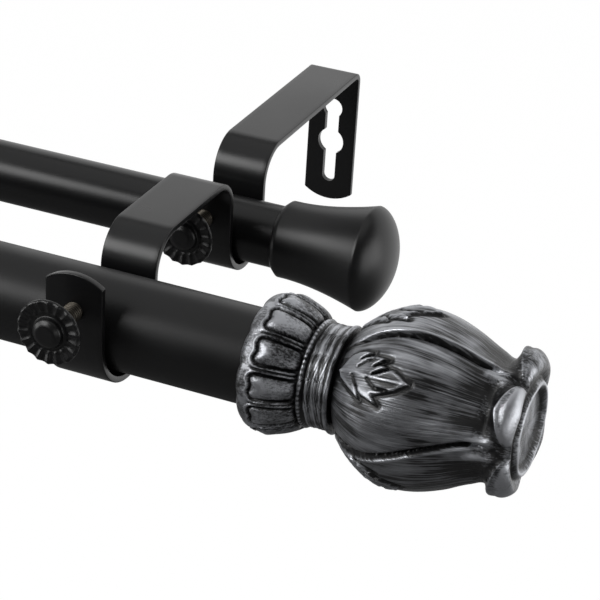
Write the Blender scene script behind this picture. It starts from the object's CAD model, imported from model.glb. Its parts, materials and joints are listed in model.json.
import json
import math

import bmesh
import bpy
import numpy as np
from bpy.props import FloatProperty, FloatVectorProperty, IntProperty, PointerProperty, StringProperty
from mathutils import Matrix, Vector

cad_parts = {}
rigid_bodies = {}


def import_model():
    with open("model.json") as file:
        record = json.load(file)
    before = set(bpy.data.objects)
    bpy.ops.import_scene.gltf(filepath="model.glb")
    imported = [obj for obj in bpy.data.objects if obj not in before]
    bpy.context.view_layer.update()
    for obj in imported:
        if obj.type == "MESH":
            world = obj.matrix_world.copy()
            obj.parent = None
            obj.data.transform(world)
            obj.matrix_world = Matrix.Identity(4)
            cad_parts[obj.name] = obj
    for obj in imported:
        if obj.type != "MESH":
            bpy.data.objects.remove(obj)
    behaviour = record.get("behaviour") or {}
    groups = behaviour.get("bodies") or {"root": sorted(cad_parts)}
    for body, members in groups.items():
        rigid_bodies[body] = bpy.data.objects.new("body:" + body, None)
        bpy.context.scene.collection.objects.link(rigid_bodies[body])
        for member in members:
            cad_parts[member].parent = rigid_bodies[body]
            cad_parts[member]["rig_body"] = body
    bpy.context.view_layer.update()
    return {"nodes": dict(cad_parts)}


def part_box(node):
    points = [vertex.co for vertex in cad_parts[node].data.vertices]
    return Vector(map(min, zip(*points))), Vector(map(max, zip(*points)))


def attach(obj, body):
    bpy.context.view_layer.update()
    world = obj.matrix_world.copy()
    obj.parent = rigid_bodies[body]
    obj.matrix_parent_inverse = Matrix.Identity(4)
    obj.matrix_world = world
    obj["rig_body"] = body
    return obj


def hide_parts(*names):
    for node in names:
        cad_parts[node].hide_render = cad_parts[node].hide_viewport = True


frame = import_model()

bl_info = {
    "name": "Double curtain pole",
    "version": (1, 0, 0),
    "blender": (4, 5, 0),
    "location": "3D View > Sidebar > Curtain pole",
    "description": "Builds the looks of a telescopic double curtain pole round its measured frame",
    "category": "Add Mesh",
}

MM = 0.001
FULL_TURN = 2 * math.pi
ENDS = {"right": 1, "left": -1}
POLES = ("front", "back")
# Points closer together than this are one point
WELD = 1e-7
# Gap all round between a pole and an end piece's socket
SOCKET_GAP = 0.1 * MM
CAP_SEGMENTS = 128
CAMERA_SENSOR = 36.0
# Name, place, aim, width and height in metres, and power in watts of each lamp
LAMPS = (
    ("front softbox", (-0.76, -1.00, 0.80), (-0.15, -0.12, 0), (1.0, 0.6), 10.0),
    ("right softbox", (1.4, -0.10, 0.08), (0.05, -0.12, 0), (1.2, 0.8), 6.5),
    ("low right softbox", (0.75, -1.10, 0.05), (0.08, -0.15, 0), (0.5, 0.4), 0.8),
    ("left softbox", (-1.3, -0.75, 0.05), (-0.1, -0.12, 0), (0.6, 0.6), 4.0),
    ("overhead softbox", (0.0, 0.0, 1.3), (0, -0.1, 0), (2.0, 1.4), 5.0),
)
# Strength of the room's own light, and what the camera sees of it
ROOM_LIGHT, ROOM_SEEN = 0.06, 1.0


# Properties


def length(label, millimetres, text):
    """A length that a user may change, given in millimetres and kept in metres."""
    return FloatProperty(name=label, description=text, default=millimetres * MM, unit="LENGTH", precision=5)


def number(label, value, text):
    """A plain number that a user may change."""
    return FloatProperty(name=label, description=text, default=value, precision=4)


def angle(label, degrees, text):
    """An angle that a user may change, given in degrees and kept in radians."""
    return FloatProperty(name=label, description=text, default=math.radians(degrees), subtype="ANGLE")


def count(label, value, text):
    """A number of repeats that a user may change."""
    return IntProperty(name=label, description=text, default=value, min=1)


def colour(label, value, text):
    """A colour that a user may change, as an sRGB hex value."""
    return StringProperty(name=label, description=text, default=value)


class PoleSizes(bpy.types.PropertyGroup):
    """Sizes of the four tubes that the frame doesn't give"""

    wall: length("Tube wall", 1.0, "Thickness of the steel")
    edge: length("Cut edge", 0.25, "Rounding of a tube's cut end")
    segments: count("Segments", 144, "Facets round a tube")


class BracketSizes(bpy.types.PropertyGroup):
    """Sizes of the bent strip that the frame doesn't give"""

    thickness: length("Strip thickness", 1.8, "Thickness of the steel strip")
    edge: length("Edge radius", 0.3, "Rounding of the strip's edges under its coat")
    cup_play: length("Cup play", 2.2, "How much wider a cup is than its pole")
    cup_back_gap: length("Cup back gap", 0.2, "Gap between a pole and the back of its cup")
    seat_gap: length("Seat gap", 0.1, "Gap between a pole and the floor of its cup")
    front_arm_rise: length("Front arm rise", 18.0, "Top of the front arm above the front pole's axis")
    wall_arm_rise: length("Wall arm rise", 16.8, "Top of the wall arm above the front pole's axis")
    leg_bend: length("Leg bend", 9.2, "Inside radius of the bend above a cup's leg")
    knob_bend: length("Knob bend", 7.6, "Inside radius of the bend above the back thumbscrew")
    wall_bend: length("Wall bend", 1.8, "Inside radius of the bend at the wall")
    end_bow: length("End bow", 2.7, "How far the strip's ends bow out at their middle")
    key_hole: length("Keyhole", 8.6, "Diameter of the keyhole's wide hole")
    key_slot: length("Keyhole slot", 4.2, "Width of the slot below the wide hole")
    key_slot_drop: length("Slot drop", 13.9, "End of the slot below the wide hole's middle")
    key_neck: length("Keyhole neck", 4.6, "Width of the neck above the wide hole")
    upper_hole: length("Upper hole", 6.4, "Diameter of the hole above the wide hole")
    upper_rise: length("Upper hole rise", 11.4, "Middle of the upper hole above the wide hole")
    tap_gap: length("Tapping gap", 0.15, "Gap between a stud and its tapped hole")


class ScrewSizes(bpy.types.PropertyGroup):
    """Sizes of a thumbscrew that the frame doesn't give"""

    pitch: length("Thread pitch", 0.8, "Pitch of the stud's thread")
    thread_depth: length("Thread depth", 0.45, "Depth of the stud's thread")
    tip_taper: length("Tip taper", 0.8, "Chamfer of the stud's tip")
    hub: length("Hub", 9.0, "Diameter of the knob's hub")
    dome: length("Dome", 8.0, "Diameter of the knob's button")
    flutes: count("Flutes", 18, "Flutes round the knob")
    flute_depth: length("Flute depth", 0.42, "Depth of a flute at the rim")
    bore: length("Bore", 5.1, "Diameter of the knob's bore")
    bore_depth: length("Bore depth", 3.05, "Depth of the knob's bore")


class CapSizes(bpy.types.PropertyGroup):
    """Sizes of an end cap that the frame doesn't give"""

    mouth: length("Mouth", 19.6, "Diameter of the lip's edge")
    lip: length("Lip", 22.2, "Diameter behind the lip's chamfer")
    lip_step: length("Lip chamfer", 1.5, "Length of the lip's chamfer")
    socket: length("Socket", 16.0, "Depth of the socket")
    dome: length("Dome", 7.6, "Length of the domed end")
    flare_power: number("Flare power", 1.75, "How late the body flares")


class FinialSizes(bpy.types.PropertyGroup):
    """Sizes of the carved flower finial, lengths along the pole from the collar's rim"""

    turn: angle("Turn", 37.0, "Middle of the petal that faces the room, from the horizontal")
    socket: length("Socket", 14.0, "Depth of the socket")
    rim_inset: length("Rim inset", 0.45, "How far the collar's round rim stands behind its end")
    collar: length("Collar", 15.3, "Where the gadrooned collar ends")
    collar_end: length("Collar end", 26.4, "Diameter of the collar at both of its ends")
    collar_swell: length("Collar swell", 4.35, "How far the gadroons swell")
    gadroons: count("Gadroons", 12, "Gadroons round the collar")
    border: length("Border", 0.8, "Width of a gadroon's raised border")
    groove: length("Groove", 0.7, "Width of the groove inside the border")
    groove_depth: length("Groove depth", 1.0, "Depth of the groove inside the border")
    rim_band: length("Rim band", 6.6, "Width of the plain band between the rim and the grooves")
    notch: length("Notch", 0.6, "How far a gadroon's pad is notched at its rim end")
    reel: length("Neck", 8.5, "Length of the wrapped neck")
    reel_width: length("Neck width", 27.0, "Diameter of the wrapped neck")
    wrap: length("Wrap", 0.75, "Spacing of the lines round the neck")
    bulb_start: length("Bulb start", 24.5, "Where the bulb starts")
    bulb: length("Bulb", 40.0, "Length of the bulb")
    bulb_base: length("Bulb base", 24.4, "Diameter of the bulb at its base")
    bulb_width: length("Bulb width", 45.0, "Diameter of the bulb at its widest")
    bulb_mouth: length("Bulb mouth", 30.6, "Diameter of the bulb at the petal tips")
    widest: number("Widest", 0.43, "Where the bulb is widest, as a share of its length")
    lip_height: length("Petal lip", 0.6, "Height of the lip along an outer petal's edge")
    seam_depth: length("Seam depth", 1.1, "Depth of the groove beside that lip")
    leaf_relief: length("Leaf relief", 0.55, "Height of a leaf above its petal")


class Finishes(bpy.types.PropertyGroup):
    """Colours of the finishes"""

    coat: colour("Coat", "#0b0b0c", "Satin black powder coat")
    coat_light: colour("Coat, light", "#111112", "The same coat where it is thin")
    zinc: colour("Zinc", "#7f796f", "Zinc plating on the threads")
    zinc_dark: colour("Zinc, dark", "#1e1b18", "Oil and shadow in the threads")
    resin: colour("Resin", "#0a0a0b", "Black paint on the cast finials")
    silver: colour("Silver", "#bcbec3", "Silver wax that was brushed over the black")
    floor: colour("Floor", "#808080", "Floor and backdrop in their own light")


class StageSizes(bpy.types.PropertyGroup):
    """Camera, floor and lamps"""

    eye: FloatVectorProperty(
        name="Camera", description="Camera's place", subtype="XYZ", unit="LENGTH", precision=5,
        default=(216.58 * MM, -567.16 * MM, 259.40 * MM),
    )
    azimuth: angle("Azimuth", 21.58, "Camera's direction round the object")
    elevation: angle("Elevation", 27.67, "Camera's height above the horizon")
    roll: angle("Roll", 3.65, "Camera's turn about its own axis")
    lens: number("Lens", 123.1, "Focal length in millimetres on a 36 mm sensor")
    floor_drop: length("Floor", 450.0, "Floor below the wall brackets' keyholes")
    backdrop: length("Backdrop", 8000.0, "Backdrop behind the wall plane")
    backdrop_rise: length("Backdrop rise", 8800.0, "Top of the backdrop above the floor")


# Mesh tools


def grid_faces(rows, columns, wrap_rows=False, wrap_columns=True):
    """Four-cornered faces between neighbouring points of a grid, as rows of indices."""
    index = np.arange(rows * columns).reshape(rows, columns)
    if wrap_rows:
        index = np.vstack([index, index[:1]])
    if wrap_columns:
        index = np.hstack([index, index[:, :1]])
    corners = [index[:-1, :-1], index[:-1, 1:], index[1:, 1:], index[1:, :-1]]
    return np.stack([c.ravel() for c in corners], axis=1)


def make_piece(name, points, faces, material, node, sharp=40.0, attributes=None):
    """Mesh object that stands for one CAD node: joined seams, outward faces, sharp edges by angle."""
    mesh = bpy.data.meshes.new(name)
    mesh.from_pydata(points.reshape(-1, 3), [], faces)
    for label, values in (attributes or {}).items():
        kind, field = ("FLOAT_VECTOR", "vector") if values.ndim == 3 else ("FLOAT", "value")
        layer = mesh.attributes.new(label, kind, "POINT")
        layer.data.foreach_set(field, values.astype(np.float32).ravel())
    shell = bmesh.new()
    shell.from_mesh(mesh)
    bmesh.ops.remove_doubles(shell, verts=shell.verts, dist=WELD)
    bmesh.ops.dissolve_degenerate(shell, edges=shell.edges, dist=WELD)
    if shell.calc_volume(signed=True) < 0:
        bmesh.ops.reverse_faces(shell, faces=shell.faces)
    shell.to_mesh(mesh)
    shell.free()
    mesh.shade_smooth()
    mesh.set_sharp_from_angle(angle=math.radians(sharp))
    mesh.materials.append(material)
    piece = bpy.data.objects.new(name, mesh)
    bpy.context.scene.collection.objects.link(piece)
    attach(piece, frame["nodes"][node]["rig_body"])
    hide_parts(node)
    return piece


def rounded_outline(corners, radii, steps=6):
    """Points of a polyline whose corners are turned into tangent arcs of the given radii."""
    points = [np.array(corners[0], float)]
    for before, corner, after, radius in zip(corners, corners[1:], corners[2:], radii):
        corner = np.array(corner, float)
        back = np.array(before, float) - corner
        ahead = np.array(after, float) - corner
        back /= np.linalg.norm(back)
        ahead /= np.linalg.norm(ahead)
        half = math.acos(np.clip(back @ ahead, -1, 1)) / 2
        if radius <= 0 or half > math.pi / 2 - 1e-6:
            points.append(corner)
            continue
        middle = (back + ahead) / np.linalg.norm(back + ahead)
        centre = corner + middle * (radius / math.sin(half))
        sweep = np.linspace(half - math.pi / 2, math.pi / 2 - half, steps + 1)
        across = back - (back @ middle) * middle
        across /= np.linalg.norm(across)
        arc = -np.cos(sweep)[:, None] * middle - np.sin(sweep)[:, None] * across
        points.extend(centre + radius * arc)
    points.append(np.array(corners[-1], float))
    return np.array(points)


def smooth_curve(points, steps):
    """Catmull-Rom curve through the given points, with the same number of steps from each to the next."""
    p = np.array(points, float)
    p = np.vstack([2 * p[0] - p[1], p, 2 * p[-1] - p[-2]])
    t = np.linspace(0, 1, steps, endpoint=False)[:, None]
    spans = [
        b + 0.5 * t * ((c - a) + t * ((2 * a - 5 * b + 4 * c - d) + t * (3 * b - a - 3 * c + d)))
        for a, b, c, d in zip(p, p[1:], p[2:], p[3:])
    ]
    return np.concatenate(spans + [p[-2:-1]])


def path_length(line):
    """Length of a polyline from its first point to each of its points."""
    return np.concatenate([[0], np.cumsum(np.linalg.norm(np.diff(line, axis=0), axis=1))])


def even_points(line, rows):
    """The same line with its points evenly spaced."""
    travel = path_length(line)
    at = np.linspace(0, travel[-1], rows)
    return np.stack([np.interp(at, travel, line[:, k]) for k in range(2)], axis=1)


def full_circle(segments):
    """Evenly spaced angles once round."""
    return np.linspace(0, FULL_TURN, segments, endpoint=False)


def turned(profile, segments):
    """Profile of (station, radius) carried round its axis: station, towards the room, up."""
    turn = full_circle(segments)
    station, radius = profile[:, :1], profile[:, 1:]
    return np.stack([
        np.broadcast_to(station, (len(profile), segments)),
        radius * np.cos(turn),
        radius * np.sin(turn),
    ], axis=2)


def along_pole(local, start, axis, side):
    """Local (station, room, up) points set on a pole that runs along X, outwards on either side."""
    x = start + side * local[..., 0]
    y = axis.y - side * local[..., 1]
    return np.stack([x, y, axis.z + local[..., 2]], axis=-1)


def towards_room(local, tip):
    """Local (station, across, up) points of a screw whose tip is given and whose knob faces the room."""
    return np.stack([tip.x + local[..., 1], tip.y - local[..., 0], tip.z + local[..., 2]], axis=-1)


def pole_axis(pole):
    """Point on the axis of a pole, from the box of its outer tube."""
    low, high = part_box(pole + "_outer_tube")
    return (low + high) / 2


def tube_radius(node):
    """Outside radius of a tube, from its box."""
    low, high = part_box(node)
    return (high.z - low.z) / 2


def screw_parts(kind):
    """Each thumbscrew's node of one kind: pole, side, node, box, and the middle of the box's wall side."""
    for pole in POLES:
        for side in ENDS:
            node = f"{pole}_{kind}_{side}"
            low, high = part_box(node)
            back = Vector(((low.x + high.x) / 2, high.y, (low.z + high.z) / 2))
            yield pole, side, node, low, high, back


def pole_ends(pole, kind):
    """Each end piece of a pole: side, node, box, where it starts along the pole, and its socket's radius."""
    for side in ENDS:
        node = f"{kind}_{side}"
        low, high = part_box(node)
        tube = "outer" if side == "right" else "inner"
        start = low.x if side == "right" else high.x
        yield side, node, low, high, start, tube_radius(f"{pole}_{tube}_tube") + SOCKET_GAP


def wrapped(turn):
    """The same angle between half a turn back and half a turn ahead."""
    return (turn + math.pi) % FULL_TURN - math.pi


def smooth_step(value, start, end):
    """Share that eases from 0 at start to 1 at end."""
    share = np.clip((value - start) / (end - start), 0, 1)
    return share * share * (3 - 2 * share)


def between(value, rise, full, fall, end):
    """Share that eases from 0 to 1 between rise and full, and back to 0 between fall and end."""
    return smooth_step(value, rise, full) * (1 - smooth_step(value, fall, end))


def ridge(distance, width):
    """Bell-shaped ridge: 1 on the line, falling away over the given width."""
    return np.exp(-(distance / width) ** 2)


def line_distance(line, x, y):
    """Distance of every (x, y) from the nearest of a polyline's segments."""
    near = np.inf
    for start, end in zip(line, line[1:]):
        run = end - start
        share = np.clip(((x - start[0]) * run[0] + (y - start[1]) * run[1]) / (run @ run), 0, 1)
        near = np.minimum(near, np.hypot(x - start[0] - share * run[0], y - start[1] - share * run[1]))
    return near


def within(outline, x, y):
    """Whether every (x, y) lies in a closed outline: a ray from it crosses an odd number of sides."""
    odd = np.zeros(np.broadcast_shapes(x.shape, y.shape), bool)
    for start, end in zip(outline, outline[1:]):
        spans = (start[1] > y) != (end[1] > y)
        slope = (end[0] - start[0]) / (end[1] - start[1] if end[1] != start[1] else 1.0)
        odd ^= spans & (x < start[0] + slope * (y - start[1]))
    return odd


# Materials


def linear(hex_value):
    """Linear RGBA of an sRGB hex colour."""
    parts = [int(hex_value[i:i + 2], 16) / 255 for i in (1, 3, 5)]
    return tuple(c / 12.92 if c <= 0.04045 else ((c + 0.055) / 1.055) ** 2.4 for c in parts) + (1.0,)


def add_node(tree, kind, inputs=None, **settings):
    """One node with its settings, and its inputs set to values or linked to sockets."""
    made = tree.nodes.new(kind)
    for key, value in settings.items():
        setattr(made, key, value)
    for key, value in (inputs or {}).items():
        if isinstance(value, bpy.types.NodeSocket):
            tree.links.new(value, made.inputs[key])
        else:
            made.inputs[key].default_value = value
    return made


def new_material(name):
    """Empty node material and its output node."""
    material = bpy.data.materials.new(name)
    material.use_nodes = True
    material.node_tree.nodes.clear()
    return material, add_node(material.node_tree, "ShaderNodeOutputMaterial")


def powder_coated_steel(name, finish, grain=0.9 * MM, roughness=(0.36, 0.46), peel=0.10):
    """Baked powder coat over steel: satin black, with a faint orange peel of the given grain."""
    # The coat flows before it sets, which gives soft highlights; tone and gloss drift over about 30 mm
    material, output = new_material(name)
    tree = material.node_tree
    place = add_node(tree, "ShaderNodeTexCoord").outputs["Object"]
    cloud = add_node(tree, "ShaderNodeTexNoise", {"Vector": place, "Scale": 1 / (30 * MM), "Detail": 3.0})
    peel_noise = add_node(tree, "ShaderNodeTexNoise", {"Vector": place, "Scale": 1 / grain, "Detail": 2.0})
    tone = add_node(tree, "ShaderNodeMix", {
        0: cloud.outputs[0], 6: linear(finish.coat), 7: linear(finish.coat_light),
    }, data_type="RGBA")
    gloss = add_node(tree, "ShaderNodeMapRange", {
        0: cloud.outputs[0], 1: 0.3, 2: 0.7, 3: roughness[0], 4: roughness[1],
    })
    bump = add_node(tree, "ShaderNodeBump", {
        "Height": peel_noise.outputs[0], "Strength": peel, "Distance": 0.05 * MM,
    })
    shader = add_node(tree, "ShaderNodeBsdfPrincipled", {
        "Base Color": tone.outputs[2], "Roughness": gloss.outputs[0], "Normal": bump.outputs[0], "IOR": 1.5,
    })
    tree.links.new(shader.outputs[0], output.inputs[0])
    return material


def zinc_plated_thread(finish):
    """Rolled thread with zinc plating: dull warm metal with oily dark roots."""
    # Crests are rubbed bright, and stains about 1.5 mm wide dull them in places
    material, output = new_material("zinc plated rolled thread")
    tree = material.node_tree
    place = add_node(tree, "ShaderNodeTexCoord").outputs["Object"]
    crest = add_node(tree, "ShaderNodeAttribute", attribute_name="crest")
    stain = add_node(tree, "ShaderNodeTexNoise", {"Vector": place, "Scale": 1 / (1.5 * MM), "Detail": 3.0})
    wear = add_node(tree, "ShaderNodeMath", {
        0: crest.outputs["Fac"], 1: stain.outputs[0],
    }, operation="MULTIPLY")
    tone = add_node(tree, "ShaderNodeMix", {
        0: wear.outputs[0], 6: linear(finish.zinc_dark), 7: linear(finish.zinc),
    }, data_type="RGBA")
    gloss = add_node(tree, "ShaderNodeMapRange", {0: wear.outputs[0], 3: 0.55, 4: 0.3})
    shader = add_node(tree, "ShaderNodeBsdfPrincipled", {
        "Base Color": tone.outputs[2], "Roughness": gloss.outputs[0], "Metallic": 1.0,
    })
    tree.links.new(shader.outputs[0], output.inputs[0])
    return material


def brushed_silver_resin(finish):
    """Cast resin, painted black, with silver wax brushed over what stands proud."""
    # The wax catches on edges and swells and leaves hollows black, in streaks that follow the brush
    material, output = new_material("cast resin with brushed silver wax")
    tree = material.node_tree
    relief = add_node(tree, "ShaderNodeAttribute", attribute_name="wax").outputs["Fac"]
    strokes = add_node(tree, "ShaderNodeAttribute", attribute_name="strokes").outputs["Vector"]
    place = add_node(tree, "ShaderNodeTexCoord").outputs["Object"]
    swept = add_node(tree, "ShaderNodeVectorMath", {0: place, 1: (0.35, 1.0, 1.0)}, operation="MULTIPLY")
    # Strokes are drawn about 0.5 mm wide, coarser than real bristle marks so that they show;
    # the patches that a brush left are about 5 mm by 15 mm
    fine = add_node(tree, "ShaderNodeTexNoise", {
        "Vector": strokes, "Scale": 1 / (0.45 * MM), "Detail": 4.0, "Roughness": 0.68,
    })
    patch = add_node(tree, "ShaderNodeTexNoise", {
        "Vector": swept.outputs[0], "Scale": 1 / (5.0 * MM), "Detail": 2.0,
    })
    share = add_node(tree, "ShaderNodeMapRange", {0: patch.outputs[0], 1: 0.36, 2: 0.64, 3: 0.55, 4: 1.3})
    brushed = add_node(tree, "ShaderNodeMath", {0: relief, 1: share.outputs[0]}, operation="MULTIPLY")
    proud = add_node(tree, "ShaderNodeMapRange", {0: relief, 1: 0.65, 2: 1.0, 3: 0.0, 4: 0.8})
    cover = add_node(tree, "ShaderNodeMath", {0: brushed.outputs[0], 1: proud.outputs[0]}, operation="ADD")
    # A stroke leaves wax where the cover wins over the streaks
    level = add_node(tree, "ShaderNodeMath", {
        0: cover.outputs[0], 1: 0.5, 2: fine.outputs[0],
    }, operation="MULTIPLY_ADD")
    wax = add_node(tree, "ShaderNodeMapRange", {0: level.outputs[0], 1: 0.64, 2: 1.0})
    tone = add_node(tree, "ShaderNodeMix", {
        0: wax.outputs[0], 6: linear(finish.resin), 7: linear(finish.silver),
    }, data_type="RGBA")
    gloss = add_node(tree, "ShaderNodeMapRange", {0: wax.outputs[0], 3: 0.34, 4: 0.36})
    metal = add_node(tree, "ShaderNodeMapRange", {0: wax.outputs[0], 1: 0.05, 2: 0.5, 3: 0.0, 4: 0.95})
    bump = add_node(tree, "ShaderNodeBump", {
        "Height": fine.outputs[0], "Strength": 0.7, "Distance": 0.2 * MM,
    })
    shader = add_node(tree, "ShaderNodeBsdfPrincipled", {
        "Base Color": tone.outputs[2], "Roughness": gloss.outputs[0], "Metallic": metal.outputs[0],
        "Normal": bump.outputs[0], "IOR": 1.5,
    })
    tree.links.new(shader.outputs[0], output.inputs[0])
    return material


def pale_studio_paper(finish):
    """Matt pale paper that takes a shadow; the camera sees it as white, and so do reflections of its back."""
    material, output = new_material("white studio paper")
    tree = material.node_tree
    path = add_node(tree, "ShaderNodeLightPath")
    place = add_node(tree, "ShaderNodeTexCoord").outputs["Object"]
    depth = add_node(tree, "ShaderNodeSeparateXYZ", {0: place}).outputs["Y"]
    behind = add_node(tree, "ShaderNodeMapRange", {
        0: depth, 1: 0.1, 2: 0.7,
    }, interpolation_type="SMOOTHSTEP")
    second = add_node(tree, "ShaderNodeMath", {
        0: path.outputs["Is Glossy Ray"], 1: path.outputs["Is Transmission Ray"],
    }, operation="MAXIMUM")
    mirrored = add_node(tree, "ShaderNodeMath", {
        0: second.outputs[0], 1: behind.outputs[0],
    }, operation="MULTIPLY")
    seen = add_node(tree, "ShaderNodeMath", {
        0: path.outputs["Is Camera Ray"], 1: mirrored.outputs[0],
    }, operation="MAXIMUM")
    share = add_node(tree, "ShaderNodeMath", {0: seen.outputs[0], 1: 0.92}, operation="MULTIPLY")
    paper = add_node(tree, "ShaderNodeBsdfDiffuse", {"Color": linear(finish.floor)})
    glow = add_node(tree, "ShaderNodeEmission", {"Color": (1.0, 1.0, 1.0, 1.0), "Strength": 1.08})
    mix = add_node(tree, "ShaderNodeMixShader", {
        0: share.outputs[0], 1: paper.outputs[0], 2: glow.outputs[0],
    })
    tree.links.new(mix.outputs[0], output.inputs[0])
    return material


# Shapes


def tube_points(low, high, radius, wall, edge, axis, segments):
    """Closed tube: an outline of its wall, with rounded cut edges, carried round its axis."""
    inner = radius - wall
    middle = (low + (high - low) / 2, inner)
    corners = [middle, (low, inner), (low, radius), (high, radius), (high, inner), middle]
    outline = rounded_outline(corners, [edge] * 4, 3)
    return along_pole(turned(outline[:-1], segments), 0.0, axis, 1)


def strip_path(b, front, back, wall_top, tab_top, foot):
    """Middle line of the bent strip as (y, z) points, from the front tab to the wall plate's foot.

    Straight runs are joined by tangent arcs, and each point's path length goes with the line.
    """
    half = b.thickness / 2
    play = b.cup_play / 2
    shift = play - b.cup_back_gap
    lift = math.sqrt((play - b.seat_gap) ** 2 - shift ** 2)
    front_cup = front["radius"] + play + half
    back_cup = back["radius"] + play + half
    front_y, front_z = front["y"] - shift, front["z"] + lift
    back_y, back_z = back["y"] - shift, back["z"] + lift
    front_arm = front["z"] + b.front_arm_rise - half
    corners = [
        (front_y - front_cup, tab_top), (front_y - front_cup, front_z - front_cup),
        (front_y + front_cup, front_z - front_cup), (front_y + front_cup, front_arm),
        (back_y - back_cup, front_arm), (back_y - back_cup, back_z - back_cup),
        (back_y + back_cup, back_z - back_cup), (back_y + back_cup, wall_top - half),
        (-half, wall_top - half), (-half, foot),
    ]
    radii = [front_cup, front_cup, b.leg_bend + half, b.knob_bend + half,
             back_cup, back_cup, b.leg_bend + half, b.wall_bend + half]
    line = rounded_outline(corners, radii, 16)
    apart = np.linalg.norm(np.diff(line, axis=0), axis=1) > 1e-9
    line = line[np.concatenate([[True], apart])]
    return line, path_length(line)


def hole_half_width(z, middle, radius):
    """Half the width of a round hole at a height."""
    return np.sqrt(np.maximum(radius ** 2 - (z - middle) ** 2, 0))


def cosine_stations(breaks, steps):
    """Stations between breaks, closer together near each break."""
    ease = (1 - np.cos(np.linspace(0, math.pi, steps + 1))) / 2
    runs = [a + (b - a) * ease[:-1] for a, b in zip(breaks, breaks[1:])]
    return np.concatenate(runs + [breaks[-1:]])


def keyhole_half_width(b, z):
    """Half the width of the keyhole at a height above its wide hole's middle."""
    wide = hole_half_width(z, 0, b.key_hole / 2)
    upper = hole_half_width(z, b.upper_rise, b.upper_hole / 2)
    slot_end = -b.key_slot_drop + b.key_slot / 2
    slot = np.where((z <= 0) & (z >= slot_end), b.key_slot / 2, 0)
    slot_round = hole_half_width(z, slot_end, b.key_slot / 2)
    neck = np.where((z >= 0) & (z <= b.upper_rise), b.key_neck / 2, 0)
    return np.maximum.reduce([wide, upper, slot, slot_round, neck])


def keyhole_breaks(b):
    """Heights where the keyhole's outline turns, from its top to its foot."""
    wide, upper = b.key_hole / 2, b.upper_hole / 2
    slot, neck = b.key_slot / 2, b.key_neck / 2
    return [
        b.upper_rise + upper,
        b.upper_rise - math.sqrt(upper ** 2 - neck ** 2),
        math.sqrt(wide ** 2 - neck ** 2),
        -math.sqrt(wide ** 2 - slot ** 2),
        -b.key_slot_drop + slot,
        -b.key_slot_drop,
    ]


def bracket_mesh(b, middle_x, width, line, travel, holes):
    """Bent strip as two halves, each a flat rounded section carried along the path.

    A half's section starts at the edge of whatever hole the path crosses there, so its inner edge
    is the hole's half width and its outer edge is the strip's side; both ends bow outwards.
    """
    total = travel[-1]
    edge = b.edge
    quarter = np.linspace(0, math.pi / 2, 5)
    ends = edge * (1 - np.sin(quarter))
    # Closer rows near both ends, where the bow fades out
    tab_zone, foot_zone, bow_zone = 6 * MM, 5 * MM, 5.5 * MM
    stations = [
        travel, ends, total - ends,
        np.linspace(edge, tab_zone, 6), total - np.linspace(edge, foot_zone, 6),
    ]
    for centre, breaks, _ in holes:
        stations.append(centre - cosine_stations(np.array(breaks), 12))
    u = np.unique(np.round(np.concatenate(stations), 9))
    y, z = np.interp(u, travel, line[:, 0]), np.interp(u, travel, line[:, 1])
    along = np.stack([np.gradient(y, u), np.gradient(z, u)], axis=1)
    along /= np.linalg.norm(along, axis=1)[:, None]
    normal = np.stack([-along[:, 1], along[:, 0]], axis=1)
    gap = np.zeros_like(u)
    for centre, _, width_at in holes:
        gap = np.maximum(gap, width_at(centre - u))
    end_distance = np.minimum(u, total - u)
    round_in = edge - np.sqrt(np.maximum(edge ** 2 - np.maximum(edge - end_distance, 0) ** 2, 0))
    half = b.thickness / 2 - round_in
    side = width / 2
    # Section: across share, corner arcs and lift, in order from the front's inner edge to the back's
    share = np.linspace(0, 1, 7)
    flat = side - edge
    front_x = gap[:, None] + (flat - gap[:, None]) * share
    arc_x = flat + edge * np.sin(quarter)
    arc_lift = np.minimum(edge, half)[:, None] * (1 - np.cos(quarter))
    rows = len(u)
    x = np.hstack([front_x, np.broadcast_to(arc_x[1:], (rows, len(quarter) - 1))])
    lift = np.hstack([np.broadcast_to(half[:, None], front_x.shape), half[:, None] - arc_lift[:, 1:]])
    x = np.hstack([x, x[:, ::-1]])
    lift = np.hstack([lift, -lift[:, ::-1]])
    columns = x.shape[1]
    radius = (side ** 2 + b.end_bow ** 2) / (2 * b.end_bow)
    bow = radius - np.sqrt(radius ** 2 - x ** 2)
    fade = np.maximum(1 - u / bow_zone, 0) - np.maximum(1 - (total - u) / bow_zone, 0)
    slide = bow * fade[:, None]
    place_y = y[:, None] + normal[:, :1] * lift + along[:, :1] * slide
    place_z = z[:, None] + normal[:, 1:] * lift + along[:, 1:] * slide
    right = np.stack([middle_x + x, place_y, place_z], axis=2)
    left = np.stack([middle_x - x, place_y, place_z], axis=2)
    skin = grid_faces(rows, columns, wrap_columns=False)
    index = np.arange(rows * columns).reshape(rows, columns)
    open_rows = np.flatnonzero((gap[:-1] > 0) | (gap[1:] > 0))
    wall = np.stack([index[open_rows, -1], index[open_rows, 0],
                     index[open_rows + 1, 0], index[open_rows + 1, -1]], axis=1)
    fold = np.arange(columns // 2 - 1)
    first = np.stack([index[0, fold], index[0, columns - 1 - fold],
                      index[0, columns - 2 - fold], index[0, fold + 1]], axis=1)
    last = np.stack([index[-1, fold], index[-1, fold + 1],
                     index[-1, columns - 2 - fold], index[-1, columns - 1 - fold]], axis=1)
    faces = np.vstack([skin, wall, first, last])
    both = np.vstack([faces, faces[:, ::-1] + rows * columns])
    return np.concatenate([right.reshape(-1, 3), left.reshape(-1, 3)]), both


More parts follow.
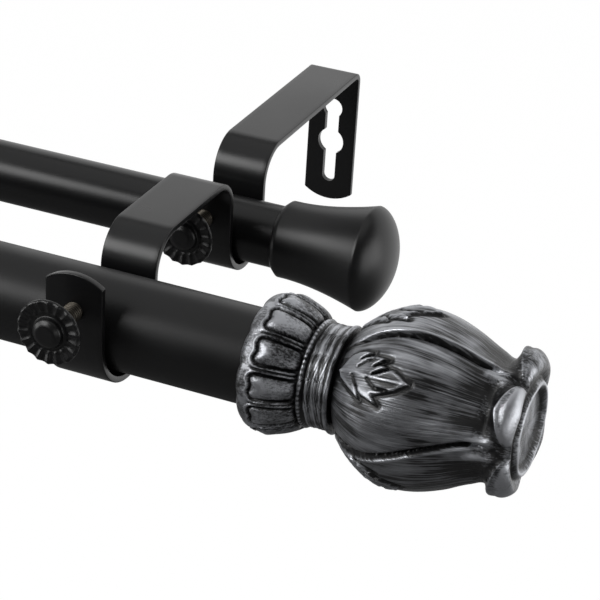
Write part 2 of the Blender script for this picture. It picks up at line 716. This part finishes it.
def stud_points(s, stud_length, radius, segments=48):
    """Threaded rod: radius falls and rises as a helix, once in each pitch, and tapers at the tip."""
    rows_per_turn = 10
    turns = stud_length / s.pitch
    station = np.linspace(0, stud_length, int(turns * rows_per_turn) + 1)[:, None]
    turn = full_circle(segments)[None, :]
    phase = (station / s.pitch - turn / FULL_TURN) % 1.0
    crest = np.clip(2 * np.abs(phase - 0.5) * 1.25 - 0.1, 0, 1)
    body = radius - s.thread_depth * (1 - crest)
    body = np.minimum(body, radius - s.tip_taper + station)
    local = np.stack(np.broadcast_arrays(station, body * np.cos(turn), body * np.sin(turn)), axis=2)
    tip = np.zeros((1, segments, 3))
    tail = tip + [stud_length, 0, 0]
    crest = np.vstack([crest[:1], crest, crest[-1:]])
    return np.concatenate([tip, local, tail]), crest


def knob_points(s, thickness, radius, segments_per_flute=14, rows=92):
    """Knob turned from a rounded outline; flutes sink its face and scallop its rim.

    Flute shape round the knob is the size of a cosine, so ridges are sharp and flutes round.
    """
    dome, hub, bore = s.dome / 2, s.hub / 2, s.bore / 2
    rim_back, rim_front = 3.4 * MM, 4.8 * MM
    dish = rim_front - 0.6 * MM
    ring = dish - 0.35 * MM
    scallop = 0.12 * MM
    corners = [
        (s.bore_depth, 0), (s.bore_depth, bore), (0, bore), (0, hub), (2.0 * MM, hub),
        (rim_back, radius - 0.4 * MM), (rim_back + 0.3 * MM, radius), (rim_front - 0.4 * MM, radius),
        (rim_front, radius - 0.6 * MM), (dish, dome + 1.5 * MM),
        (ring, dome + 1.0 * MM), (ring, dome + 0.1 * MM),
        (thickness - 0.9 * MM, dome - 0.1 * MM), (thickness, dome - 1.4 * MM), (thickness, 0),
    ]
    radii = [0.1, 0.3, 0.3, 0.8, 0.2, 0.25, 0.3, 0.4, 0.6, 0.4, 0.3, 0.7, 1.4]
    outline = even_points(rounded_outline(corners, [r * MM for r in radii], 6), rows)
    segments = s.flutes * segments_per_flute
    local = turned(outline, segments)
    flute = np.abs(np.cos(s.flutes / 2 * full_circle(segments))) ** 1.2
    r = outline[:, 1]
    front = smooth_step(outline[:, 0], rim_back, rim_back + 0.7 * MM)
    face = smooth_step(r, dome + 0.9 * MM, dome + 2.2 * MM) * front
    local[..., 0] -= s.flute_depth * face[:, None] * flute
    rim = smooth_step(r, radius - 1.0 * MM, radius)
    shrink = 1 - scallop / radius * rim[:, None] * flute
    local[..., 1:] *= shrink[..., None]
    return local


def cap_outline(c, cap_length, rim, socket_radius):
    """Outline of an end cap: lip chamfer, body that flares as a power of its length, domed end."""
    lip = c.lip / 2
    shoulder = cap_length - c.dome
    straight = 1.5 * MM
    flare_start = c.lip_step + straight
    body_s = np.linspace(c.lip_step, shoulder, 40)
    rise = np.clip((body_s - flare_start) / (shoulder - flare_start), 0, 1) ** c.flare_power
    body_r = lip + (rim - lip) * rise
    turn = np.linspace(0, math.pi / 2, 26)[1:]
    dome_s = shoulder + c.dome * np.sin(turn) ** 1.25
    dome_r = rim * np.cos(turn)
    start = rounded_outline([
        (c.socket, 0), (c.socket, socket_radius), (0, socket_radius), (0, c.mouth / 2), (c.lip_step, lip),
    ], [0.2 * MM, 0.2 * MM, 0.5 * MM], 4)
    body = np.stack([body_s, body_r], axis=1)
    dome = np.stack([dome_s, dome_r], axis=1)
    return np.concatenate([start[:-1], body, dome])


class Finial:
    """Flower finial as one surface of a row station and an angle round the pole.

    Rows run from the socket's floor out over the rim, the collar, the neck, the bulb and the rolled
    petal tips, and into the mouth. Each zone adds its own relief to a plain turned profile and gives
    its stations, its radii, its wax, and how long its brush strokes are: a small number for strokes
    along the petals, 1 for none and more for strokes round the pole.
    """

    collar_rows, neck_rows = 56, 30
    # Rows over the leaves and rows after them, with the share of the bulb where they change
    leaf_rows, petal_rows, leaf_share = 68, 38, 0.56
    tip_steps, mouth_steps = 3, 2
    # Spread of the stroke coordinates round the pole, and how much strokes round it squeeze that
    stroke_spread, round_squeeze = 16 * MM, 0.1
    seam_starts = np.radians([66, 152, 237, 320])
    seam_ends = np.radians([78, 174, 270, 366])
    seam_ease = 30 * MM
    # A leaf in mm along its petal and across it: outline, slits and rib
    leaf_outline = (
        (0.2, 1.0), (1.6, 3.2), (2.3, 5.0), (3.4, 6.4), (5.0, 7.0), (7.0, 7.1), (9.8, 6.6), (8.3, 5.8),
        (6.6, 4.9), (8.2, 5.4), (10.1, 5.6), (12.0, 5.5), (14.3, 5.2), (12.5, 4.2), (10.9, 3.1), (12.5, 3.5),
        (14.7, 3.2), (12.8, 2.1), (11.0, 1.0), (12.6, 1.6), (14.9, 2.9), (16.3, 2.8), (17.7, 2.1),
        (19.0, 1.3), (20.5, 0.6), (19.5, -0.3), (17.7, -1.7), (15.5, -2.8), (13.2, -3.7), (11.7, -4.0),
        (12.7, -4.9),
        (14.2, -6.3), (10.9, -5.4), (8.9, -4.8), (6.8, -2.7), (8.9, -6.3), (6.1, -4.8), (3.6, -3.3),
        (1.4, -1.5), (0.2, 1.0),
    )
    leaf_slits = (
        ((9.9, 6.5), (8.3, 5.9), (6.6, 4.9)), ((10.2, 4.6), (8.4, 4.1), (6.3, 2.5)),
        ((14.3, 5.1), (12.5, 4.2), (10.8, 3.0)), ((14.7, 2.8), (12.9, 2.0), (10.9, 1.0)),
        ((5.1, 0.0), (6.4, -2.0), (7.4, -3.1)), ((9.7, -0.3), (10.9, -1.4), (12.8, -2.3), (15.6, -2.3)),
    )
    leaf_rib = (
        (0.2, 0.8), (1.7, 1.5), (3.3, 1.8), (5.5, 1.3), (7.9, 0.6), (12.0, 0.2), (16.1, 0.2), (19.3, 0.3),
    )
    leaf_turns = np.radians([0, 64, 180, 279])
    # Middle and half span of each rolled tip in degrees, how blunt its free edge is, its height and its wax
    rolls = (
        (38.4, 30.0, 1.25, 1.04, 1.0), (121.0, 46.0, 2.2, 1.08, 0.35),
        (219.0, 36.0, 1.5, 0.95, 0.7), (312.0, 42.0, 2.2, 0.82, 0.6),
    )
    # Lines in mm before the finial's end and from its axis: over a roll, between two rolls, into the cup
    roll_path = (
        (11.2, 16.3), (9.4, 15.5), (8.1, 15.5), (7.3, 16.3), (6.8, 17.6), (6.6, 18.5), (6.1, 18.75),
        (5.0, 18.6), (3.9, 18.7), (2.7, 18.3), (1.4, 17.2), (0.6, 15.8), (0.9, 14.4),
    )
    plain_path = (
        (11.2, 16.3), (9.4, 15.5), (7.6, 15.1), (5.6, 14.7), (3.8, 14.3), (3.0, 14.0), (2.8, 13.9),
        (2.6, 13.8), (2.4, 13.7), (2.2, 13.6), (2.0, 13.5), (1.8, 13.4), (1.6, 13.4),
    )
    mouth_path = (
        (1.5, 13.3), (1.7, 12.9), (1.5, 12.5), (0.9, 12.1), (0.4, 11.7), (0.2, 11.2), (0.4, 10.6),
        (0.9, 10.0), (1.5, 9.4), (1.8, 8.7), (1.8, 5.5), (1.8, 3.0), (1.8, 0.0),
    )

    def __init__(self, sizes, total, socket_radius, segments=384):
        self.f = sizes
        self.total = total
        self.socket_radius = socket_radius
        self.turn = full_circle(segments)[None, :]
        middle, span, blunt, height, share_of_wax = np.array(self.rolls).T[..., None]
        away = np.abs(wrapped(self.turn - np.radians(middle)))
        share = away / np.radians(span)
        nearest = np.argmin(share, axis=0)
        self.off_roll = np.min(share, axis=0)[None, :]
        self.blunt = blunt[nearest].T
        self.height = height[nearest].T
        self.roll_wax = share_of_wax[nearest].T
        self.end_arc = np.min(np.abs(away - np.radians(span)), axis=0)[None, :]

    def bulb_radius(self, share):
        """Petal crest: a quick sine swell to the widest place, then a slow cosine draw to the mouth."""
        f = self.f
        base, wide, mouth = f.bulb_base / 2, f.bulb_width / 2, f.bulb_mouth / 2
        swell = base + (wide - base) * np.sin(math.pi / 2 * np.clip(share / f.widest, 0, 1)) ** 0.8
        fall = np.clip((share - f.widest) / (1 - f.widest), 0, 1)
        draw = mouth + (wide - mouth) * ((np.cos(math.pi * fall) + 1) / 2) ** 0.65
        return np.where(share < f.widest, swell, draw)

    def collar(self):
        """Gadroons on a skewed sine swell: pad, groove and border by distance from the pad's outline.

        The relief stands along the profile's own normal, so that the blunt rim keeps its form.
        """
        f = self.f
        v = np.linspace(0, 1, 2000) ** 2
        swell = f.collar_end / 2 + f.collar_swell * np.sqrt(np.sin(math.pi * v ** 0.58).clip(0))
        profile = np.stack([f.rim_inset + v * (f.collar - f.rim_inset), swell], axis=1)
        line = even_points(profile, self.collar_rows)
        step = np.gradient(line, axis=0)
        step /= np.linalg.norm(step, axis=1)[:, None]
        travel = path_length(line)[:, None]
        s, r = line[:, :1], line[:, 1:]
        pitch = FULL_TURN / f.gadroons
        local = (self.turn - f.turn + pitch / 2) % pitch - pitch / 2
        edge = np.abs(local) / (pitch / 2)
        half_pitch = pitch / 2 * r
        across = np.abs(local) * r
        corner = 1.5 * MM
        qs = f.rim_band + f.groove + f.notch * ridge(across, 1.3 * MM) - travel + corner
        qa = across - (half_pitch - f.border - f.groove) + corner
        away = np.hypot(np.maximum(qs, 0), np.maximum(qa, 0)) + np.minimum(np.maximum(qs, qa), 0) - corner
        fade = smooth_step(travel[-1] - travel, 0, 1.0 * MM) * smooth_step(travel, 1.8 * MM, 3.6 * MM)
        inside = 1 - np.exp(np.minimum(away, 0) / (1.4 * MM))
        crown = ridge(travel - f.rim_band - 2.6 * MM, 2.0 * MM)
        dent = ridge(away - f.groove * 0.5, 0.44 * f.groove)
        border = ridge(away - f.groove - f.border * 0.45, 0.4 * f.border)
        crease = ridge(half_pitch - across, 0.3 * MM) * smooth_step(travel, 6.0 * MM, 9.0 * MM)
        relief = inside * (0.55 * MM + 0.35 * MM * crown) - f.groove_depth * dent + 0.3 * MM * border
        height = fade * relief - 0.75 * MM * crease
        scallop = 0.8 * MM * edge ** 3 * (1 - smooth_step(travel, 0, 6 * MM))
        fork = (0.1 + 0.9 * edge ** 3) * ridge(travel - f.rim_band + 0.6 * MM, 2.6 * MM)
        rubbed = inside * (0.2 * crown + 0.2) - 1.3 * dent + 0.35 * border
        wax = 0.5 + 0.5 * fork + fade * rubbed - crease
        wax = wax * smooth_step(travel[-1] - travel, 0.2 * MM, 1.6 * MM)
        return s - step[:, 1:] * height + scallop, r + step[:, :1] * height, wax, 0.6

    def neck(self):
        """Wrapped neck: a bead, then a shallow waist with uneven lines round it, then a lip."""
        f = self.f
        s = np.linspace(0.1 * MM, f.reel, self.neck_rows)[:, None]
        reel = f.reel_width / 2 - 0.3 * MM * np.sin(math.pi * s / f.reel)
        first_bead = ridge(s - 0.95 * MM, 0.5 * MM)
        bead = first_bead + 0.9 * ridge(s - f.reel + 0.7 * MM, 0.5 * MM)
        gap = ridge(s - 1.85 * MM, 0.28 * MM) + ridge(s, 0.3 * MM)
        gap = gap + 0.7 * ridge(s - f.reel + 1.5 * MM, 0.25 * MM)
        drift = 0.4 * MM * np.sin(3 * self.turn + 1.0) + 0.25 * MM * np.sin(5 * self.turn)
        band = smooth_step(s, 1.9 * MM, 2.4 * MM) * smooth_step(f.reel - s, 1.5 * MM, 2.0 * MM)
        uneven = 0.6 + 0.4 * np.sin(2 * self.turn + 2.0)
        wraps = np.sin(FULL_TURN * (s + drift * band) / f.wrap) * band * uneven
        slow = np.sin(FULL_TURN * s / (2.7 * f.wrap) + 2 * np.sin(self.turn)) * band
        height = 0.5 * MM * bead - 0.35 * MM * gap + 0.09 * MM * wraps + 0.05 * MM * slow
        dots = first_bead * np.cos(64 * self.turn)
        wax = 0.58 + 0.15 * bead + 0.3 * wraps + 0.2 * slow - 1.1 * gap + 0.3 * dots
        return f.collar + s, reel + height, wax, 8.0

    def recess(self):
        """Sunk dark ring between neck and bulb."""
        f = self.f
        end = f.collar + f.reel
        sunk = f.bulb_base / 2 - 1.0 * MM
        s = np.array([end + 0.05 * MM, end + 0.2 * MM, f.bulb_start + 0.1 * MM])[:, None]
        r = np.array([f.reel_width / 2 - 0.6 * MM, sunk, sunk])[:, None]
        return s, r, 0.0, 1.0

    def seams(self, s, r):
        """Distance from the nearest seam, positive on the outer petal, and share across each petal."""
        f = self.f
        ease = (1 - np.exp(-(s - f.bulb_start) / self.seam_ease)) / (1 - math.exp(-f.bulb / self.seam_ease))
        lines = [a + (b - a) * ease for a, b in zip(self.seam_starts, self.seam_ends)]
        nearest = np.full(np.broadcast_shapes(s.shape, self.turn.shape), 1.0)
        for index, line in enumerate(lines):
            offset = wrapped(self.turn - line) * r
            offset = offset if index % 2 == 0 else -offset
            nearest = np.where(np.abs(offset) < np.abs(nearest), offset, nearest)
        return nearest, 1 - np.abs(nearest) / (math.pi / 4 * r)

    def leaf(self, s):
        """Height and wax of the leaves, one on each petal, by distance from outline, slits and rib."""
        f = self.f
        height, wax = 0.0, 0.0
        along = s - f.bulb_start - 0.5 * MM
        outline, rib = np.array(self.leaf_outline) * MM, np.array(self.leaf_rib) * MM
        slits = [np.array(slit) * MM for slit in self.leaf_slits]
        for place in self.leaf_turns:
            across = wrapped(self.turn - f.turn - place) * f.bulb_width / 2
            depth = line_distance(outline, along, across) * np.where(within(outline, along, across), 1, -1)
            body = smooth_step(depth, -0.2 * MM, 0.3 * MM)
            slit = np.max([ridge(line_distance(line, along, across), 0.32 * MM) for line in slits], axis=0)
            middle = ridge(line_distance(rib, along, across), 0.4 * MM)
            border = ridge(depth - 0.5 * MM, 0.3 * MM)
            groove = ridge(depth + 0.4 * MM, 0.5 * MM) * (1 - body)
            height = height + body * (f.leaf_relief + 0.3 * MM * middle + 0.15 * MM * border)
            height = height - 0.7 * MM * slit - 0.4 * MM * groove
            base = 1 - smooth_step(along, 1.0 * MM, 7.0 * MM)
            rubbed = 0.25 * middle + 0.25 * border + 0.03 + 0.3 * base
            wax = wax + body * rubbed - 1.2 * slit - 1.1 * groove
        return height, wax

    def petal_end(self, s, r):
        """Height and wax of a petal's end: raised corners beside its roll, hollows beside its rib."""
        before = self.total - s
        corner = ridge(self.end_arc * r, 1.2 * MM) * between(before, 4.5 * MM, 6.5 * MM, 9.5 * MM, 14 * MM)
        hollow = ridge(self.off_roll - 0.5, 0.3) * between(before, 7.0 * MM, 8.5 * MM, 12 * MM, 18 * MM)
        return 1.1 * MM * corner - 0.6 * MM * hollow, 0.55 * corner - 0.4 * hollow

    def bulb(self):
        """Petals: lips on the outer pair overlap the inner pair, with a groove beside each lip."""
        f = self.f
        end = (self.total - self.roll_path[0][0] * MM - f.bulb_start) / f.bulb
        leafy = np.linspace(0, self.leaf_share, self.leaf_rows)
        plain = np.linspace(self.leaf_share, end, self.petal_rows)
        share = np.concatenate([leafy[:-1], plain])[:, None]
        s = f.bulb_start + f.bulb * share
        crest = self.bulb_radius(share)
        edge, across = self.seams(s, crest)
        outer = smooth_step(edge, -0.5 * MM, 0.4 * MM)
        lip = ridge(edge - 0.65 * MM, 0.6 * MM) * outer
        lip_wide = ridge(edge, 2.8 * MM) * outer
        groove = ridge(edge + 0.4 * MM, 0.48 * MM)
        dip = ridge(edge, 3.4 * MM) * (1 - outer)
        sheen = ridge(np.abs(edge) - 4.5 * MM, 2.8 * MM)
        fade = smooth_step(share, 0.02, 0.2)
        swell = -0.35 * MM * np.clip(across, 0, 1) ** 3
        lips = f.lip_height * (0.5 * lip + 0.8 * lip_wide)
        height = swell + fade * (lips - f.seam_depth * groove - 0.5 * MM * dip)
        leaf_height, leaf_wax = self.leaf(s)
        end_height, end_wax = self.petal_end(s, crest)
        r = crest + height + leaf_height + end_height
        bare = smooth_step(share, 0.5, 0.85)
        wax = 0.57 + 0.13 * sheen + 0.25 * lip - 1.2 * groove - 0.1 * bare
        wax = wax * smooth_step(share, -0.03, 0.10) + leaf_wax + end_wax
        self.last_row = r[-1:]
        return s, r, wax, 0.03

    def rolled_tips(self):
        """Petal tips: on each petal a tongue that folds outwards and back, between them a plain step.

        Every column mixes the two lines. Its share in radius is round, so a roll is plump, and its share
        in station falls off by a power, so the tongue's free edge is pointed or blunt.
        """
        roll = smooth_curve(np.array(self.roll_path) * MM, self.tip_steps)
        plain = smooth_curve(np.array(self.plain_path) * MM, self.tip_steps)
        inside = np.minimum(self.off_roll, 1)
        plump = (1 - inside ** 2) ** 0.55
        q = np.linspace(0, 1, len(roll))[:, None]
        s = self.total - plain[:, :1] - (roll - plain)[:, :1] * (1 - inside ** self.blunt)
        r = plain[:, 1:] + (roll - plain)[:, 1:] * plump * self.height
        end_height, end_wax = self.petal_end(s, r)
        r = r + end_height
        r = r + (self.last_row - r[:1]) * (1 - smooth_step(q, 0, 0.25))
        fold = between(q, 0.60, 0.70, 0.86, 1.0)
        tongue = between(q, 0.42, 0.48, 0.60, 0.70)
        free_edge = ridge(q - 0.45, 0.035)
        under = ridge(q - 0.28, 0.12)
        cover = smooth_step(plump, 0.1, 0.6)
        rubbed = 0.65 * fold + 0.3 * tongue + 0.4 * free_edge
        wax = 0.45 + self.roll_wax * cover * rubbed - 0.35 * under + end_wax
        return s[1:], r[1:], wax[1:], 0.4

    def mouth(self):
        """Cup behind the rolls: groove, rounded ring that waves a little, sloping wall, flat floor."""
        f = self.f
        line = smooth_curve(np.array(self.mouth_path) * MM, self.mouth_steps)
        q = np.linspace(0, 1, len(line))[:, None]
        wave = 0.3 * np.cos(4 * (self.turn - f.turn)) + 0.2 * np.sin(7 * self.turn)
        r = line[:, 1:] * (1 + 0.02 * wave)
        s = self.total - line[:, :1] - 0.15 * MM * wave * (1 - smooth_step(q, 0.5, 0.7))
        rim = ridge(q - 0.4, 0.08)
        floor = smooth_step(q, 0.7, 0.78)
        gap = ridge(q - 0.12, 0.07) + 0.4 * ridge(q - 0.66, 0.06)
        wax = 0.5 + 0.5 * rim + 0.18 * floor - 0.8 * gap
        return s, r, wax, 0.5

    def socket(self):
        """Socket's floor and wall, up to the rim."""
        f = self.f
        s = np.array([f.socket, f.socket, f.rim_inset + 0.5 * MM, f.rim_inset])[:, None]
        r = np.array([0, 1, 1, 1.02])[:, None] * self.socket_radius
        return s, r, 0.1, 1.0

    def surface(self):
        """Points as (station, room, up), wax, and stroke coordinates for the brush marks."""
        stations, radii, waxes, strokes = [], [], [], []
        wide = np.ones_like(self.turn)
        zones = (self.socket, self.collar, self.neck, self.recess, self.bulb, self.rolled_tips, self.mouth)
        lead = 0.0
        for zone in zones:
            s, r, wax, stretch = zone()
            s, r = s * wide, r * wide
            stations.append(s)
            radii.append(r)
            waxes.append(np.clip(wax, 0, 1) * np.ones_like(s))
            # Strokes of one zone start where those of the zone before it end
            run = lead + (s - s[:1]) * min(stretch, 1.0)
            lead = run[-1:]
            spread = (self.round_squeeze if stretch > 1 else 1.0) * self.stroke_spread
            ring = np.broadcast_arrays(run, spread * np.cos(self.turn), spread * np.sin(self.turn))
            strokes.append(np.stack(ring, axis=2))
        s, r = np.concatenate(stations), np.concatenate(radii)
        points = np.stack([s, r * np.cos(self.turn), r * np.sin(self.turn)], axis=2)
        return points, np.concatenate(waxes), np.concatenate(strokes)


# Operators


class CURTAINPOLE_OT_poles(bpy.types.Operator):
    """Make the four steel tubes of the telescopic poles"""

    bl_idname = "curtainpole.poles"
    bl_label = "Poles"

    def execute(self, context):
        sizes, finish = context.scene.pole_sizes, context.scene.finishes
        glosses = {"front": (0.38, 0.46), "back": (0.27, 0.34)}
        for pole in POLES:
            name = f"satin black powder coat on {pole} tubes"
            material = powder_coated_steel(name, finish, roughness=glosses[pole])
            axis = pole_axis(pole)
            for kind in ("outer", "inner"):
                node = f"{pole}_{kind}_tube"
                low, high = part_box(node)
                radius = tube_radius(node)
                points = tube_points(low.x, high.x, radius, sizes.wall, sizes.edge, axis, sizes.segments)
                faces = grid_faces(len(points), sizes.segments, wrap_rows=True)
                make_piece(f"{pole}_{kind}_pole", points, faces, material, node)
        return {"FINISHED"}


class CURTAINPOLE_OT_brackets(bpy.types.Operator):
    """Make the two bent-strip wall brackets with their keyholes and tapped holes"""

    bl_idname = "curtainpole.brackets"
    bl_label = "Brackets"

    def execute(self, context):
        b, finish = context.scene.bracket_sizes, context.scene.finishes
        material = powder_coated_steel(
            "satin black powder coat on bent strip", finish, grain=0.8 * MM, roughness=(0.26, 0.34),
        )
        poles = {}
        for pole in POLES:
            axis = pole_axis(pole)
            poles[pole] = {"y": axis.y, "z": axis.z, "radius": tube_radius(pole + "_outer_tube")}
        right_low, right_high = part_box("bracket_right")
        wall_top = poles["front"]["z"] + b.wall_arm_rise
        line, travel = strip_path(b, poles["front"], poles["back"], wall_top, right_high.z, right_low.z)
        for side in ENDS:
            low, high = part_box("bracket_" + side)
            rise = high.z - right_high.z
            holes = []
            for pole in POLES:
                s_low, s_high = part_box(f"{pole}_stud_{side}")
                height = (s_low.z + s_high.z) / 2 - rise
                radius = (s_high.z - s_low.z) / 2 + b.tap_gap
                ahead = self.crossing(line, travel, poles[pole]["y"], height, pole)
                holes.append((ahead, [radius, 0, -radius], lambda h, r=radius: hole_half_width(h, 0, r)))
            foot = travel[-1] + right_low.z
            holes.append((foot, keyhole_breaks(b), lambda h: keyhole_half_width(b, h)))
            shifted = line + np.array([0, rise])
            points, faces = bracket_mesh(b, (low.x + high.x) / 2, high.x - low.x, shifted, travel, holes)
            make_piece("wall_bracket_" + side, points, faces, material, "bracket_" + side,
                       sharp=35.0)
        return {"FINISHED"}

    @staticmethod
    def crossing(line, travel, pole_y, height, pole):
        """Path length where the leg in front of a pole passes a height."""
        before = (line[:-1, 0] < pole_y) & (line[:-1, 1] >= height) & (line[1:, 1] < height)
        index = np.flatnonzero(before)[-1 if pole == "back" else 0]
        return travel[index] + line[index, 1] - height


class CURTAINPOLE_OT_studs(bpy.types.Operator):
    """Make the four threaded studs of the thumbscrews"""

    bl_idname = "curtainpole.studs"
    bl_label = "Studs"

    def execute(self, context):
        sizes = context.scene.screw_sizes
        material = zinc_plated_thread(context.scene.finishes)
        for pole, side, node, low, high, tip in screw_parts("stud"):
            local, crest = stud_points(sizes, high.y - low.y, (high.z - low.z) / 2)
            points = towards_room(local, tip)
            faces = grid_faces(*points.shape[:2])
            make_piece(f"{pole}_threaded_stud_{side}", points, faces, material, node,
                       sharp=60.0, attributes={"crest": crest})
        return {"FINISHED"}


class CURTAINPOLE_OT_knobs(bpy.types.Operator):
    """Make the four fluted knobs of the thumbscrews"""

    bl_idname = "curtainpole.knobs"
    bl_label = "Knobs"

    def execute(self, context):
        sizes, finish = context.scene.screw_sizes, context.scene.finishes
        material = powder_coated_steel(
            "satin black paint on zinc casting", finish, grain=0.6 * MM, roughness=(0.3, 0.4),
        )
        for pole, side, node, low, high, back in screw_parts("knob"):
            points = towards_room(knob_points(sizes, high.y - low.y, (high.x - low.x) / 2), back)
            faces = grid_faces(*points.shape[:2])
            make_piece(f"{pole}_thumb_knob_{side}", points, faces, material, node,
                       sharp=50.0)
        return {"FINISHED"}


class CURTAINPOLE_OT_end_caps(bpy.types.Operator):
    """Make the two flared end caps of the back pole"""

    bl_idname = "curtainpole.end_caps"
    bl_label = "End caps"

    def execute(self, context):
        sizes, finish = context.scene.cap_sizes, context.scene.finishes
        material = powder_coated_steel(
            "satin black lacquer on moulded cap", finish, grain=1.2 * MM, roughness=(0.34, 0.4),
        )
        axis = pole_axis("back")
        for side, node, low, high, start, socket in pole_ends("back", "end_cap"):
            outline = cap_outline(sizes, high.x - low.x, (high.z - low.z) / 2, socket)
            points = along_pole(turned(outline, CAP_SEGMENTS), start, axis, ENDS[side])
            faces = grid_faces(*points.shape[:2])
            make_piece("flared_cap_" + side, points, faces, material, node, sharp=50.0)
        return {"FINISHED"}


class CURTAINPOLE_OT_finials(bpy.types.Operator):
    """Make the two carved flower finials of the front pole"""

    bl_idname = "curtainpole.finials"
    bl_label = "Finials"

    def execute(self, context):
        sizes = context.scene.finial_sizes
        material = brushed_silver_resin(context.scene.finishes)
        axis = pole_axis("front")
        for side, node, low, high, start, socket in pole_ends("front", "finial"):
            local, wax, strokes = Finial(sizes, high.x - low.x, socket).surface()
            points = along_pole(local, start, axis, ENDS[side])
            faces = grid_faces(*points.shape[:2])
            make_piece("flower_finial_" + side, points, faces, material, node,
                       sharp=80.0, attributes={"wax": wax, "strokes": strokes})
        return {"FINISHED"}


class CURTAINPOLE_OT_stage(bpy.types.Operator):
    """Make the floor, backdrop, lamps and camera"""

    bl_idname = "curtainpole.stage"
    bl_label = "Stage"

    def execute(self, context):
        scene = context.scene
        stage = scene.stage_sizes
        self.backdrop(scene, stage)
        for lamp in LAMPS:
            self.lamp(scene, *lamp)
        self.room(scene)
        self.camera(scene, stage)
        scene.view_settings.view_transform = "Standard"
        return {"FINISHED"}

    @staticmethod
    def room(scene):
        """Faint even light from all round, which the camera sees as white."""
        world = bpy.data.worlds.new("studio room")
        scene.world = world
        world.use_nodes = True
        tree = world.node_tree
        tree.nodes.clear()
        path = add_node(tree, "ShaderNodeLightPath")
        level = add_node(tree, "ShaderNodeMapRange", {
            0: path.outputs["Is Camera Ray"], 3: ROOM_LIGHT, 4: ROOM_SEEN,
        })
        light = add_node(tree, "ShaderNodeBackground", {
            "Color": (1, 1, 1, 1), "Strength": level.outputs[0],
        })
        output = add_node(tree, "ShaderNodeOutputWorld")
        tree.links.new(light.outputs[0], output.inputs[0])

    @staticmethod
    def camera(scene, stage):
        """Camera at its place, turned by azimuth, elevation and roll."""
        back = Vector((
            math.sin(stage.azimuth) * math.cos(stage.elevation),
            -math.cos(stage.azimuth) * math.cos(stage.elevation),
            math.sin(stage.elevation),
        ))
        right = Vector((0, 0, 1)).cross(back).normalized()
        up = back.cross(right)
        turned_right = right * math.cos(stage.roll) + up * math.sin(stage.roll)
        turned_up = up * math.cos(stage.roll) - right * math.sin(stage.roll)
        data = bpy.data.cameras.new("camera")
        data.lens = stage.lens
        data.sensor_width = CAMERA_SENSOR
        data.clip_start, data.clip_end = 0.01, 100.0
        camera = bpy.data.objects.new("camera", data)
        axes = Matrix((turned_right, turned_up, back)).transposed().to_4x4()
        camera.matrix_world = Matrix.Translation(Vector(stage.eye)) @ axes
        scene.collection.objects.link(camera)
        scene.camera = camera

    @staticmethod
    def backdrop(scene, stage):
        """Floor that curves up into a backdrop: run, quarter circle and rise, carried sideways."""
        radius, front_edge, half_width = 1.0, -12.0, 40
        bend = np.linspace(0, math.pi / 2, 24)
        foot = stage.backdrop - radius + radius * np.sin(bend)
        run = np.concatenate([[front_edge], foot, [stage.backdrop]])
        rise = np.concatenate([[0], radius - radius * np.cos(bend), [stage.backdrop_rise]])
        rise = rise - stage.floor_drop
        wide = np.linspace(-half_width, half_width, 3)
        points = np.stack(np.broadcast_arrays(wide[None, :], run[:, None], rise[:, None]), axis=2)
        mesh = bpy.data.meshes.new("floor")
        mesh.from_pydata(points.reshape(-1, 3), [], grid_faces(len(run), 3, wrap_columns=False))
        mesh.shade_smooth()
        mesh.materials.append(pale_studio_paper(scene.finishes))
        floor = bpy.data.objects.new("floor", mesh)
        scene.collection.objects.link(floor)

    @staticmethod
    def lamp(scene, name, place, aim, size, power):
        """Soft rectangular lamp aimed at a point."""
        data = bpy.data.lights.new(name, "AREA")
        data.shape = "RECTANGLE"
        data.size, data.size_y = size
        data.energy = power
        lamp = bpy.data.objects.new(name, data)
        lamp.location = place
        lamp.rotation_euler = (Vector(aim) - Vector(place)).to_track_quat("-Z", "Y").to_euler()
        scene.collection.objects.link(lamp)


class CURTAINPOLE_PT_panel(bpy.types.Panel):
    """Sidebar panel with the sizes and the operators"""

    bl_idname = "CURTAINPOLE_PT_panel"
    bl_label = "Curtain pole"
    bl_space_type = "VIEW_3D"
    bl_region_type = "UI"
    bl_category = "Curtain pole"

    def draw(self, context):
        for group in GROUPS:
            box = self.layout.box()
            for key in GROUPS[group].__annotations__:
                box.prop(getattr(context.scene, group), key)
        for operator in OPERATORS:
            self.layout.operator(operator.bl_idname)


GROUPS = {
    "pole_sizes": PoleSizes,
    "bracket_sizes": BracketSizes,
    "screw_sizes": ScrewSizes,
    "cap_sizes": CapSizes,
    "finial_sizes": FinialSizes,
    "finishes": Finishes,
    "stage_sizes": StageSizes,
}
OPERATORS = (
    CURTAINPOLE_OT_poles,
    CURTAINPOLE_OT_brackets,
    CURTAINPOLE_OT_studs,
    CURTAINPOLE_OT_knobs,
    CURTAINPOLE_OT_end_caps,
    CURTAINPOLE_OT_finials,
    CURTAINPOLE_OT_stage,
)


def register():
    for name, group in GROUPS.items():
        bpy.utils.register_class(group)
        setattr(bpy.types.Scene, name, PointerProperty(type=group))
    for operator in OPERATORS:
        bpy.utils.register_class(operator)
    bpy.utils.register_class(CURTAINPOLE_PT_panel)


def unregister():
    bpy.utils.unregister_class(CURTAINPOLE_PT_panel)
    for operator in reversed(OPERATORS):
        bpy.utils.unregister_class(operator)
    for name, group in GROUPS.items():
        delattr(bpy.types.Scene, name)
        bpy.utils.unregister_class(group)


def main():
    """Register the add-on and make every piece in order."""
    register()
    bpy.ops.curtainpole.poles()
    bpy.ops.curtainpole.brackets()
    bpy.ops.curtainpole.studs()
    bpy.ops.curtainpole.knobs()
    bpy.ops.curtainpole.end_caps()
    bpy.ops.curtainpole.finials()
    bpy.ops.curtainpole.stage()


if __name__ == "__main__":
    main()
